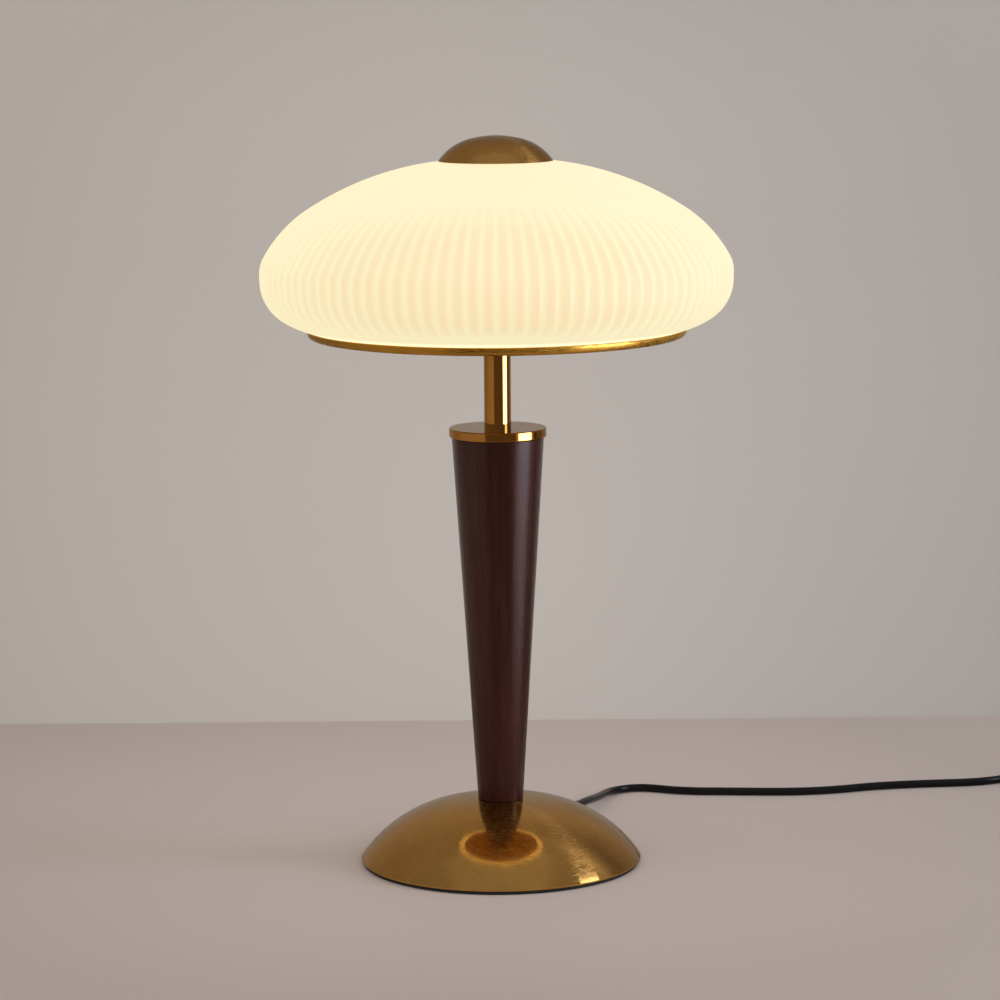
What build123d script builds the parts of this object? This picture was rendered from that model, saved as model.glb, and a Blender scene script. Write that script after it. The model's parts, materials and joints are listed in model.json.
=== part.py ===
"""Table lamp: opal glass shade on a brass pan, turned wooden column, domed brass base and a mains cord.

Millimetres, +Z up. The origin is the centre of the base's underside, where the lamp stands on the table.
"""

import os
from math import cos, pi, radians, sin, sqrt, tan

from build123d import *

os.makedirs("parts", exist_ok=True)

# Clearances
slip = 0.05  # radial clearance of a round fit
seat_gap = 0.3  # space between pieces that part from each other
cut_overrun = 1.0  # a cut runs this far past the wall it opens

# Base
pad_setback = 1.3  # the pad's edge stands this far inside the base's
pad_thickness = 2.2
base_radius = 84.3
base_height = 38.4  # from the table to the seat of the column
base_rim_height = 0.8
shell_wall = 1.2
shell_rim_wall = 1.7  # measured level, where the shell meets the pad
dome_seat_radius = 14.5
dome_seat_slope = 2.7  # degrees, at the edge of the seat
dome_crown_radius = 130.5
dome_crown_angle = 7.5
weight_radius = 64.0
weight_disc_height = 13.8
weight_step_radius = 40.0
weight_step_height = 15.0
weight_boss_radius = 13.0
nut_pocket_radius = 16.0
nut_pocket_depth = 23.8

# Threaded pipe, rod and their fasteners
pipe_radius = 5.0
pipe_bore = 3.6
pipe_end_room = 1.0  # thread that stands out of the base nut
washer_radius = 13.0
washer_thickness = 2.0
base_nut_thickness = 4.0
nut_width = 14.0
rod_radius = 4.0
rod_engagement = 7.0
coupler_radius = 8.5
coupler_thread = 10.0
coupler_window_height = 10.0
coupler_window_width = 6.4

# Column, collar and stem
column_foot_radius = 13.5
column_top_radius = 27.5
column_length = 220.2
column_bore = 5.8
column_edge_round = 0.8
collar_radius = 29.0
collar_thickness = 5.4
collar_edge_round = 0.6
collar_spigot_height = 4.0
stem_radius = 8.0
stem_bore = 6.6
stem_length = 54.5

# Pan
pan_height = 4.9
pan_edge_radius = 3.5
pan_wall = 1.2
pan_lip_round = 0.4
pan_nut_thickness = 6.0
seat_ring_width = 4.4
seat_ring_thickness = 1.4

# Shade
shade_radius = 140.0
shade_overhang = 27.6  # the glass reaches this far beyond the pan
shade_wall = 3.2
shade_equator_rise = 37.1  # widest level above the floor of the pan
shade_crown_rise = 66.1  # top above the widest level
shade_shoulder_radius = 19.2
shade_shoulder_angle = 28.9
shade_flank_radius = 78.3
shade_flank_angle = 28.2
shade_belly_radius = 90.0
shade_belly_angle = 3.9
shade_turn_radius = 26.6
shade_turn_angle = 52.6
shade_neck_setback = 2.0  # the neck stands this far inside the pan's edge
shade_flare_overlap = 0.4  # the glass reaches this far over the pan's edge
shade_flare_gap = 0.55
shade_neck_step = 1.6
shade_hole_radius = 7.0
shade_land_radius = 14.5

# Cap
cap_radius = 34.0
cap_height = 14.9
cap_wall = 1.2
cap_rim_wall = 1.45
cap_crown_radius = 62.0
cap_crown_angle = 14.5
cap_hub_radius = 7.5
cap_hub_flange_radius = 13.0
cap_hub_flange_thickness = 2.0
cap_hub_end = 1.5  # bore left free above the rod
gasket_setback = 0.5  # inside the edge of the glass's flat land
gasket_thickness = 1.0

# Lampholders and bulbs, small screw cap of 14 mm
lamp_count = 3
lamp_circle_radius = 52.0
lamp_first_angle = 90.0
bracket_thickness = 1.5
bracket_hub_radius = 16.0
bracket_arm_width = 18.0
bracket_end_radius = 12.0
nipple_radius = 5.0
nipple_bore = 3.5
nipple_nut_thickness = 4.0
nipple_end_room = 0.5
holder_radius = 13.0
holder_height = 36.0
holder_entry_depth = 8.0
holder_floor = 12.0
holder_wire_radius = 2.0
contact_radius = 4.5
contact_thickness = 0.8
bulb_thread_radius = 6.9
bulb_thread_clearance = 0.4
bulb_foot_radius = 3.0
bulb_foot_height = 1.5
bulb_insulator_height = 4.0
bulb_globe_radius = 12.4
bulb_globe_length = 38.0
bulb_shoulder_round = 3.0
bulb_crown_share = 0.95  # rounding of the bulb's top, as a share of its radius

# Terminal block and inner wiring
terminal_angle = 150.0
terminal_radius = 36.0
terminal_length = 20.0
terminal_width = 16.0
terminal_height = 11.3
terminal_corner = 1.5
terminal_screw_radius = 2.0
terminal_screw_depth = 5.0
terminal_screw_sink = 0.8
terminal_screw_spacing = 8.0
terminal_screw_offset = 4.0
terminal_cord_offset = -5.0
lead_radius = 1.3
lead_bend = 3.0
lead_side_step = 5.0  # straight lead beside the terminal block
inner_bend_base = 8.0
inner_bend_top = 4.9
inner_bend_room = 0.1

# Cord and its bush
cord_diameter = 5.0
cord_bend_share = 0.45  # share of a straight run that the bend at its end may take
cord_exit_angle = 65.0
cord_exit_height = 9.0
cord_slot_width = 9.0
bush_flange_radius = 6.5
bush_flange_thickness = 2.5
bush_barrel_radius = 4.6
bush_barrel_out = 1.7  # barrel that stands out of the base
bush_taper_length = 26.0
bush_tip_radius = 3.3
bush_groove_count = 5
bush_groove_width = 1.6
bush_groove_depth = 0.5

# In-line switch
switch_length = 62.0
switch_width = 26.0
switch_height = 17.0
switch_split = 8.0
switch_wall = 1.8
switch_corner = 8.0
switch_edge_round = 2.0
rocker_radius = 9.6
rocker_width = 12.0
rocker_gap = 0.4
rocker_tilt = 7.0
rocker_pivot_height = 14.0
rocker_top_end = 3.6
rocker_top_middle = 2.4
rocker_bottom = 3.6
rocker_pin_radius = 1.2
rocker_pin_length = 1.6
switch_lug_thickness = 2.0
switch_lug_radius = 2.6
switch_screw_spacing = 44.0
switch_screw_radius = 1.4
switch_screw_head_radius = 2.7
switch_screw_head_height = 1.6
switch_post_radius = 3.4
switch_screw_length = 11.0
switch_terminal_size = 7.0
switch_terminal_spacing = 26.0

# Coil of the spare cord and its tie
coil_radius = 39.5  # start of the outer turn
coil_turn_pitch = 5.5
coil_layer_height = 5.5
coil_inward_half_turns = 7
coil_outward_half_turns = 6
coil_climb_inset = 1.0  # the climbing half turn stands this far inside the spiral
tie_thickness = 1.0
tie_width = 10.0
tie_room = 0.9

# Plug with two round pins
plug_width = 35.0
plug_thickness = 13.7
plug_corner = 5.0
plug_body_length = 24.0
plug_shoulder_length = 10.0
plug_neck_width = 12.0
plug_neck_thickness = 10.0
plug_neck_corner = 4.5
plug_relief_length = 24.0
plug_relief_radius = 4.4
plug_relief_tip_radius = 3.1
plug_pin_radius = 2.0
plug_pin_shank_radius = 1.7
plug_pin_length = 19.0
plug_pin_depth = 12.0
plug_pin_spacing = 19.0
plug_pin_round = 1.2

# Levels of the stack
pan_bottom = base_height + column_length + collar_thickness + stem_length
pan_floor = pan_bottom + pan_wall
pan_lip = pan_bottom + pan_height
column_top = base_height + column_length
collar_top = column_top + collar_thickness
pocket_top = pad_thickness + nut_pocket_depth
pipe_bottom = pocket_top - washer_thickness - base_nut_thickness - pipe_end_room
bracket_bottom = pan_floor + washer_thickness + pan_nut_thickness
bracket_top = bracket_bottom + bracket_thickness
pipe_top = bracket_top + coupler_thread
coupler_top = pipe_top + coupler_window_height + coupler_thread
equator = pan_floor + shade_equator_rise
shade_top = equator + shade_crown_rise
shade_rim = pan_floor + seat_ring_thickness + seat_gap
holder_top = bracket_top + holder_height
bulb_foot = bracket_top + holder_floor + contact_thickness + seat_gap
globe_bottom = holder_top + seat_gap
terminal_top = pan_floor + terminal_height

# Radii that follow from a fit
pipe_hole = pipe_radius + slip
cord_radius = cord_diameter / 2
cord_hole = cord_radius + slip
pan_radius = shade_radius - shade_overhang
neck_radius = pan_radius - shade_neck_setback
pad_radius = base_radius - pad_setback
gasket_radius = shade_land_radius - gasket_setback
bush_taper_start = base_radius + bush_barrel_out
lamp_step = 360 / lamp_count

# Route of the cord on the table, chosen point by point from the bush to the in-line switch
switch_start = Vector(376, 203, switch_split)
cord_floor = cord_radius
lead_route_points = [
    Vector(60.3, 137, 5.6),
    Vector(65, 165, 2.7),
    Vector(90, 178.3, cord_floor),
    Vector(117.5, 165.4, cord_floor),
    Vector(152, 164.9, cord_floor),
    Vector(188, 161.2, cord_floor),
    Vector(217, 164.5, cord_floor),
    Vector(246, 175.8, cord_floor),
    Vector(283, 181.3, cord_floor),
    Vector(312, 183.7, cord_floor),
    Vector(336, 197.5, cord_floor),
    Vector(356, 203, switch_split),
]
bush_straight = 13.0  # straight cord beyond the bush

# From the switch to the coil, and from the coil to the plug
coil_floor = tie_thickness + tie_room + cord_radius
coil_start = Vector(480, 148, coil_floor)
link_route_points = [
    Vector(462, 203, switch_split),
    Vector(480, 185, 5.4),
    Vector(480, 161, coil_floor),
]
tail_straight = 16.0
tail_turn = Vector(470, 100, plug_thickness / 2)
plug_start = Vector(470, 84, plug_thickness / 2)


def direction(angle):
    """Unit vector outwards from the lamp's axis at an angle from +X."""
    return Vector(cos(radians(angle)), sin(radians(angle)), 0)


def outward_plane(angle, height):
    """Plane across a line that runs outwards from the lamp's axis: local X is level, local Y is up."""
    out = direction(angle)
    return Plane(origin=(0, 0, height), x_dir=Vector(0, 0, 1).cross(out), z_dir=out)


def section_plane(angle, height):
    """Upright plane through the lamp's axis: local X runs outwards, local Y runs up."""
    out = direction(angle)
    return Plane(origin=(0, 0, height), x_dir=out, z_dir=out.cross(Vector(0, 0, 1)))


def upright_plane(place):
    """Upright plane through a place: local X is along +X, local Y is up."""
    return Plane(origin=place, x_dir=(1, 0, 0), z_dir=(0, -1, 0))


def route_radii(points):
    """Bend radii of a cord: as large as the two runs beside each point allow."""
    radii = []
    for before, point, after in zip(points, points[1:], points[2:]):
        run_in = point - before
        run_out = after - point
        half_turn = radians(run_in.get_angle(run_out)) / 2
        radii.append(cord_bend_share * min(run_in.length, run_out.length) / tan(half_turn))
    return radii


def write(piece, name):
    """Label a finished piece and write its file."""
    piece.part.label = name
    export_step(piece.part, f"parts/{name}.step")


def report_tube(name, tube, path_length):
    """Print how the volume of a tube compares with its section times its length."""
    expected = pi * cord_radius**2 * path_length
    print(f"{name}: length {path_length:.1f} mm, volume share {tube.part.volume / expected:.4f}")


# Base pad
with BuildPart() as base_pad:
    with BuildSketch(Plane.XY):
        Circle(pad_radius)
    extrude(amount=pad_thickness)
write(base_pad, "base_pad")

# Base shell, a spun dome with a flat seat for the column and a hole for the cord
seat_direction = (cos(radians(dome_seat_slope)), -sin(radians(dome_seat_slope)))
seat_underside = base_height - shell_wall
rim_inside = base_radius - shell_rim_wall
inner_dome_radius = dome_crown_radius - shell_wall
with BuildPart() as base_shell:
    with BuildSketch(Plane.XZ):
        with BuildLine():
            crown = JernArc(
                (dome_seat_radius, base_height), seat_direction, dome_crown_radius, -dome_crown_angle
            )
            side = TangentArc(crown @ 1, (base_radius, pad_thickness + base_rim_height), tangent=crown % 1)
            inner_crown = JernArc(
                (dome_seat_radius, seat_underside), seat_direction, inner_dome_radius, -dome_crown_angle
            )
            inner_side = TangentArc(inner_crown @ 1, (rim_inside, pad_thickness), tangent=inner_crown % 1)
            Polyline(side @ 1, (base_radius, pad_thickness), inner_side @ 1)
            Polyline(
                inner_crown @ 0, (pipe_hole, seat_underside), (pipe_hole, base_height), crown @ 0
            )
        make_face()
    revolve(axis=Axis.Z)
    with BuildSketch(outward_plane(cord_exit_angle, cord_exit_height)):
        Circle(bush_barrel_radius + slip)
    extrude(amount=base_radius, mode=Mode.SUBTRACT)
write(base_shell, "base_shell")

# Base weight, a casting with a pocket for the nut and a slot for the cord
weight_disc_top = pad_thickness + weight_disc_height
weight_step_top = weight_disc_top + weight_step_height
with BuildPart() as base_weight:
    with BuildSketch(Plane.XZ):
        with BuildLine():
            Polyline(
                (nut_pocket_radius, pad_thickness),
                (weight_radius, pad_thickness),
                (weight_radius, weight_disc_top),
                (weight_step_radius, weight_disc_top),
                (weight_step_radius, weight_step_top),
                (weight_boss_radius, weight_step_top),
                (weight_boss_radius, seat_underside),
                (pipe_hole, seat_underside),
                (pipe_hole, pocket_top),
                (nut_pocket_radius, pocket_top),
                close=True,
            )
        make_face()
    revolve(axis=Axis.Z)
    slot_top = cord_exit_height + cord_slot_width / 2
    with BuildSketch(outward_plane(cord_exit_angle, pad_thickness)):
        Rectangle(cord_slot_width, slot_top - pad_thickness, align=(Align.CENTER, Align.MIN))
    extrude(amount=weight_radius + cut_overrun, mode=Mode.SUBTRACT)
write(base_weight, "base_weight")

# Base washer and nut
with BuildPart() as base_washer:
    with BuildSketch(Plane.XY.offset(pocket_top - washer_thickness)):
        Circle(washer_radius)
        Circle(pipe_hole, mode=Mode.SUBTRACT)
    extrude(amount=washer_thickness)
write(base_washer, "base_washer")

with BuildPart() as base_nut:
    with BuildSketch(Plane.XY.offset(pocket_top - washer_thickness - base_nut_thickness)):
        RegularPolygon(nut_width / 2, 6, major_radius=False)
        Circle(pipe_hole, mode=Mode.SUBTRACT)
    extrude(amount=base_nut_thickness)
write(base_nut, "base_nut")

# Cord bush with its tapered strain relief
exit_axis = Axis((0, 0, cord_exit_height), direction(cord_exit_angle))
bush_back = weight_radius + seat_gap
bush_front = bush_back + bush_flange_thickness
bush_tip = bush_taper_start + bush_taper_length
groove_pitch = bush_taper_length / (bush_groove_count + 1)
with BuildPart() as cord_bush:
    with BuildSketch(section_plane(cord_exit_angle, cord_exit_height)):
        with BuildLine():
            Polyline(
                (bush_back, cord_hole),
                (bush_back, bush_flange_radius),
                (bush_front, bush_flange_radius),
                (bush_front, bush_barrel_radius),
                (bush_taper_start, bush_barrel_radius),
                (bush_tip, bush_tip_radius),
                (bush_tip, cord_hole),
                close=True,
            )
        make_face()
    revolve(axis=exit_axis)
    with BuildSketch(section_plane(cord_exit_angle, cord_exit_height)):
        for index in range(bush_groove_count):
            groove_place = bush_taper_start + (index + 1) * groove_pitch
            taper_share = (groove_place - bush_taper_start) / bush_taper_length
            taper_radius = bush_barrel_radius + (bush_tip_radius - bush_barrel_radius) * taper_share
            with Locations((groove_place, taper_radius)):
                Rectangle(bush_groove_width, 2 * bush_groove_depth)
    revolve(axis=exit_axis, mode=Mode.SUBTRACT)
write(cord_bush, "cord_bush")

# Threaded pipe through base, column, collar, stem and pan
with BuildPart() as threaded_pipe:
    with BuildSketch(Plane.XY.offset(pipe_bottom)):
        Circle(pipe_radius)
        Circle(pipe_bore, mode=Mode.SUBTRACT)
    extrude(amount=pipe_top - pipe_bottom)
write(threaded_pipe, "threaded_pipe")

# Column, a turned taper that widens upwards
with BuildPart() as column:
    with BuildSketch(Plane.XZ):
        with BuildLine():
            Polyline(
                (column_bore, base_height),
                (column_foot_radius, base_height),
                (column_top_radius, column_top),
                (column_bore, column_top),
                close=True,
            )
        make_face()
    revolve(axis=Axis.Z)
    rims = column.edges().filter_by(GeomType.CIRCLE).group_by(Axis.Z)
    foot_rim = rims[0].sort_by(SortBy.RADIUS)[-1]
    top_rim = rims[-1].sort_by(SortBy.RADIUS)[-1]
    fillet([foot_rim, top_rim], radius=column_edge_round)
write(column, "column")

# Collar, a disc with a spigot that centres the stem
with BuildPart() as collar:
    with BuildSketch(Plane.XY.offset(column_top)):
        Circle(collar_radius)
    extrude(amount=collar_thickness)
    fillet(collar.edges().filter_by(GeomType.CIRCLE), radius=collar_edge_round)
    with BuildSketch(Plane.XY.offset(collar_top)):
        Circle(stem_bore - slip)
    extrude(amount=collar_spigot_height)
    with BuildSketch(Plane.XY.offset(column_top)):
        Circle(pipe_hole)
    extrude(amount=collar_thickness + collar_spigot_height, mode=Mode.SUBTRACT)
write(collar, "collar")

# Stem tube
with BuildPart() as stem_tube:
    with BuildSketch(Plane.XY.offset(collar_top)):
        Circle(stem_radius)
        Circle(stem_bore, mode=Mode.SUBTRACT)
    extrude(amount=stem_length)
write(stem_tube, "stem_tube")

# Pan, a spun dish with a rounded edge
pan_edge_start = pan_radius - pan_edge_radius
with BuildPart() as pan:
    with BuildSketch(Plane.XZ):
        with BuildLine():
            edge = JernArc((pan_edge_start, pan_bottom), (1, 0), pan_edge_radius, 90)
            inner_edge = JernArc((pan_edge_start, pan_floor), (1, 0), pan_edge_radius - pan_wall, 90)
            Polyline(edge @ 1, (pan_radius, pan_lip), (pan_radius - pan_wall, pan_lip), inner_edge @ 1)
            Polyline(edge @ 0, (pipe_hole, pan_bottom), (pipe_hole, pan_floor), inner_edge @ 0)
        make_face()
    revolve(axis=Axis.Z)
    fillet(pan.edges().group_by(Axis.Z)[-1], radius=pan_lip_round)
write(pan, "pan")

# Pan washer and nut
with BuildPart() as pan_washer:
    with BuildSketch(Plane.XY.offset(pan_floor)):
        Circle(washer_radius)
        Circle(pipe_hole, mode=Mode.SUBTRACT)
    extrude(amount=washer_thickness)
write(pan_washer, "pan_washer")

with BuildPart() as pan_nut:
    with BuildSketch(Plane.XY.offset(pan_floor + washer_thickness)):
        RegularPolygon(nut_width / 2, 6, major_radius=False)
        Circle(pipe_hole, mode=Mode.SUBTRACT)
    extrude(amount=pan_nut_thickness)
write(pan_nut, "pan_nut")

# Lamp bracket, a plate with one arm for each lampholder
with BuildPart() as lamp_bracket:
    with BuildSketch(Plane.XY.offset(bracket_bottom)):
        Circle(bracket_hub_radius)
        with PolarLocations(lamp_circle_radius / 2, lamp_count, lamp_first_angle):
            Rectangle(lamp_circle_radius, bracket_arm_width)
        with PolarLocations(lamp_circle_radius, lamp_count, lamp_first_angle):
            Circle(bracket_end_radius)
            Circle(nipple_radius + slip, mode=Mode.SUBTRACT)
        Circle(pipe_hole, mode=Mode.SUBTRACT)
    extrude(amount=bracket_thickness)
write(lamp_bracket, "lamp_bracket")

# Nipples that carry the lampholders, and their nuts below the bracket
nipple_bottom = bracket_bottom - nipple_nut_thickness - nipple_end_room
nipple_top = bracket_top + holder_entry_depth - seat_gap
with BuildPart() as holder_nipples:
    with BuildSketch(Plane.XY.offset(nipple_bottom)):
        with PolarLocations(lamp_circle_radius, lamp_count, lamp_first_angle):
            Circle(nipple_radius)
            Circle(nipple_bore, mode=Mode.SUBTRACT)
    extrude(amount=nipple_top - nipple_bottom)
write(holder_nipples, "holder_nipples")

with BuildPart() as nipple_nuts:
    with BuildSketch(Plane.XY.offset(bracket_bottom - nipple_nut_thickness)):
        with PolarLocations(lamp_circle_radius, lamp_count, lamp_first_angle):
            RegularPolygon(nut_width / 2, 6, major_radius=False)
            Circle(nipple_radius + slip, mode=Mode.SUBTRACT)
    extrude(amount=nipple_nut_thickness)
write(nipple_nuts, "nipple_nuts")

# Spring contacts in the floors of the lampholders
with BuildPart() as holder_contacts:
    with BuildSketch(Plane.XY.offset(bracket_top + holder_floor)):
        with PolarLocations(lamp_circle_radius, lamp_count, lamp_first_angle):
            Circle(contact_radius)
    extrude(amount=contact_thickness)
write(holder_contacts, "holder_contacts")

# Lampholders with their bulbs
cavity_radius = bulb_thread_radius + bulb_thread_clearance
for index in range(lamp_count):
    lamp_place = direction(lamp_first_angle + index * lamp_step) * lamp_circle_radius
    lamp_axis = Axis(lamp_place, (0, 0, 1))

    with BuildPart() as lampholder:
        with BuildSketch(upright_plane(lamp_place)):
            with BuildLine():
                Polyline(
                    (nipple_radius + slip, bracket_top),
                    (nipple_radius + slip, bracket_top + holder_entry_depth),
                    (holder_wire_radius, bracket_top + holder_entry_depth),
                    (holder_wire_radius, bracket_top + holder_floor),
                    (cavity_radius, bracket_top + holder_floor),
                    (cavity_radius, holder_top),
                    (holder_radius, holder_top),
                    (holder_radius, bracket_top),
                    close=True,
                )
            make_face()
        revolve(axis=lamp_axis)
    write(lampholder, f"lampholder_{index + 1}")

    with BuildPart() as bulb_cap:
        with BuildSketch(upright_plane(lamp_place)):
            with BuildLine():
                Polyline(
                    (0, bulb_foot),
                    (bulb_foot_radius, bulb_foot),
                    (bulb_foot_radius, bulb_foot + bulb_foot_height),
                    (bulb_thread_radius, bulb_foot + bulb_foot_height + bulb_insulator_height),
                    (bulb_thread_radius, globe_bottom),
                    (0, globe_bottom),
                    close=True,
                )
            make_face()
        revolve(axis=lamp_axis)
    write(bulb_cap, f"bulb_cap_{index + 1}")

    with BuildPart() as bulb_globe:
        with BuildSketch(Plane.XY.offset(globe_bottom)):
            with Locations((lamp_place.X, lamp_place.Y)):
                Circle(bulb_globe_radius)
        extrude(amount=bulb_globe_length)
        globe_rims = bulb_globe.edges().filter_by(GeomType.CIRCLE).sort_by(Axis.Z)
        fillet(globe_rims[0], radius=bulb_shoulder_round)
        fillet(globe_rims[-1], radius=bulb_crown_share * bulb_globe_radius)
    write(bulb_globe, f"bulb_globe_{index + 1}")

# Coupler between pipe and rod, with a window for the cord
with BuildPart() as coupler:
    with BuildSketch(Plane.XY.offset(bracket_top)):
        Circle(coupler_radius)
    extrude(amount=coupler_top - bracket_top)
    with BuildSketch(Plane.XY.offset(bracket_top)):
        Circle(pipe_hole)
    extrude(amount=coupler_thread, mode=Mode.SUBTRACT)
    with BuildSketch(Plane.XY.offset(pipe_top)):
        Circle(pipe_bore)
    extrude(amount=coupler_window_height, mode=Mode.SUBTRACT)
    with BuildSketch(Plane.XY.offset(coupler_top - coupler_thread)):
        Circle(rod_radius + slip)
    extrude(amount=coupler_thread, mode=Mode.SUBTRACT)
    with BuildSketch(outward_plane(terminal_angle, pipe_top)):
        Rectangle(coupler_window_width, coupler_window_height, align=(Align.CENTER, Align.MIN))
    extrude(amount=coupler_radius + cut_overrun, mode=Mode.SUBTRACT)
write(coupler, "coupler")

# Terminal block on the pan's floor, and its screws
terminal_plane = Plane(
    origin=direction(terminal_angle) * terminal_radius + Vector(0, 0, pan_floor),
    x_dir=direction(terminal_angle),
    z_dir=(0, 0, 1),
)
screw_places = [
    (terminal_screw_offset, -terminal_screw_spacing / 2),
    (terminal_screw_offset, terminal_screw_spacing / 2),
]
with BuildPart() as terminal_block:
    with BuildSketch(terminal_plane):
        RectangleRounded(terminal_length, terminal_width, terminal_corner)
    extrude(amount=terminal_height)
    with BuildSketch(terminal_plane.offset(terminal_height)):
        with Locations(*screw_places):
            Circle(terminal_screw_radius + slip)
    extrude(amount=-terminal_screw_depth, mode=Mode.SUBTRACT)
write(terminal_block, "terminal_block")

with BuildPart() as terminal_screws:
    with BuildSketch(terminal_plane.offset(terminal_height - terminal_screw_depth)):
        with Locations(*screw_places):
            Circle(terminal_screw_radius)
    extrude(amount=terminal_screw_depth - terminal_screw_sink)
write(terminal_screws, "terminal_screws")

# Inner stretch of the cord: through the bush, up the pipe and out of the coupler to the terminal block
bush_tip_place = exit_axis.position + exit_axis.direction * bush_tip
window_height = pipe_top + inner_bend_top + inner_bend_room
cord_end_radius = terminal_radius + terminal_cord_offset
inner_route = [
    bush_tip_place,
    Vector(0, 0, cord_exit_height),
    Vector(0, 0, window_height),
    direction(terminal_angle) * cord_end_radius + Vector(0, 0, window_height),
    direction(terminal_angle) * cord_end_radius + Vector(0, 0, terminal_top),
]
with BuildPart() as inner_cord:
    with BuildLine() as inner_path:
        FilletPolyline(*inner_route, radius=[inner_bend_base, inner_bend_top, inner_bend_top])
    with BuildSketch(Plane(origin=inner_path.wire() @ 0, z_dir=inner_path.wire() % 0)):
        Circle(cord_radius)
    sweep()
report_tube("inner_cord", inner_cord, inner_path.wire().length)
write(inner_cord, "inner_cord")

# Leads along the pan's floor from the terminal block into the nipples
lead_level = pan_floor + lead_radius + slip
lead_top = nipple_top - seat_gap
block_side = terminal_width / 2
lead_middles = [
    [],
    [],
    [Vector(-31.5, 0, lead_level), Vector(-18, -22, lead_level), Vector(12, -33, lead_level)],
]
lead_starts = [(0.0, -block_side), (3.0, block_side), (-6.0, block_side)]
with BuildPart() as lamp_leads:
    for index in range(lamp_count):
        lamp_place = direction(lamp_first_angle + index * lamp_step) * lamp_circle_radius
        along, across = lead_starts[index]
        start = terminal_plane.from_local_coords(Vector(along, across, lead_radius + slip))
        side_step = terminal_plane.y_dir * (lead_side_step if across > 0 else -lead_side_step)
        lead_route = [start, start + side_step, *lead_middles[index]]
        lead_route.append(lamp_place + Vector(0, 0, lead_level))
        lead_route.append(lamp_place + Vector(0, 0, lead_top))
        with BuildLine() as lead_path:
            FilletPolyline(*lead_route, radius=lead_bend)
        with BuildSketch(Plane(origin=lead_path.wire() @ 0, z_dir=lead_path.wire() % 0)) as lead_section:
            Circle(lead_radius)
        sweep(sections=lead_section.sketch, path=lead_path.wire())
write(lamp_leads, "lamp_leads")

# Seat ring between pan and glass
with BuildPart() as seat_ring:
    with BuildSketch(Plane.XY.offset(pan_floor)):
        Circle(pan_edge_start)
        Circle(pan_edge_start - seat_ring_width, mode=Mode.SUBTRACT)
    extrude(amount=seat_ring_thickness)
write(seat_ring, "seat_ring")

# Shade, a glass mushroom with a neck inside the pan and a flat land for the gasket on top
inner_radius = shade_radius - shade_wall
with BuildPart() as shade:
    with BuildSketch(Plane.XZ):
        with BuildLine():
            shoulder = JernArc((shade_radius, equator), (0, 1), shade_shoulder_radius, shade_shoulder_angle)
            flank = JernArc(shoulder @ 1, shoulder % 1, shade_flank_radius, shade_flank_angle)
            roof = TangentArc(flank @ 1, (shade_land_radius, shade_top), tangent=flank % 1)
            belly = JernArc((shade_radius, equator), (0, -1), shade_belly_radius, -shade_belly_angle)
            turn = JernArc(belly @ 1, belly % 1, shade_turn_radius, -shade_turn_angle)
            flare = TangentArc(
                turn @ 1, (pan_radius + shade_flare_overlap, pan_lip + shade_flare_gap), tangent=turn % 1
            )
            inner_shoulder = JernArc(
                (inner_radius, equator), (0, 1), shade_shoulder_radius - shade_wall, shade_shoulder_angle
            )
            inner_flank = JernArc(
                inner_shoulder @ 1, inner_shoulder % 1, shade_flank_radius - shade_wall, shade_flank_angle
            )
            inner_roof = TangentArc(
                inner_flank @ 1, (shade_land_radius, shade_top - shade_wall), tangent=inner_flank % 1
            )
            inner_belly = JernArc(
                (inner_radius, equator), (0, -1), shade_belly_radius - shade_wall, -shade_belly_angle
            )
            inner_turn = JernArc(
                inner_belly @ 1, inner_belly % 1, shade_turn_radius - shade_wall, -shade_turn_angle
            )
            flare_end = flare @ 1
            flare_way = flare % 1
            inner_end = flare_end + Vector(flare_way.Y, -flare_way.X) * shade_wall
            inner_flare = TangentArc(inner_turn @ 1, inner_end, tangent=inner_turn % 1)
            Polyline(
                roof @ 1,
                (shade_hole_radius, shade_top),
                (shade_hole_radius, shade_top - shade_wall),
                inner_roof @ 1,
            )
            Polyline(
                flare_end,
                (neck_radius, flare_end.Y),
                (neck_radius, shade_rim),
                (neck_radius - shade_wall, shade_rim),
                (neck_radius - shade_wall, inner_end.Y - shade_neck_step),
                inner_end,
            )
        make_face()
    revolve(axis=Axis.Z)
write(shade, "shade")

# Level of the glass under the cap's rim
roof_fall = roof.radius - sqrt(roof.radius**2 - (cap_radius - roof.arc_center.X) ** 2)
cap_rim = roof.arc_center.Y + roof.radius - roof_fall + seat_gap
cap_top = cap_rim + cap_height
gasket_top = shade_top + gasket_thickness
hub_bottom = gasket_top + seat_gap
rod_top = hub_bottom + rod_engagement

# Rod from the coupler to the cap
with BuildPart() as top_rod:
    with BuildSketch(Plane.XY.offset(coupler_top - coupler_thread)):
        Circle(rod_radius)
    extrude(amount=rod_top - coupler_top + coupler_thread)
write(top_rod, "top_rod")

# Gasket on the glass
with BuildPart() as top_gasket:
    with BuildSketch(Plane.XY.offset(shade_top)):
        Circle(gasket_radius)
        Circle(shade_hole_radius, mode=Mode.SUBTRACT)
    extrude(amount=gasket_thickness)
write(top_gasket, "top_gasket")

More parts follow.
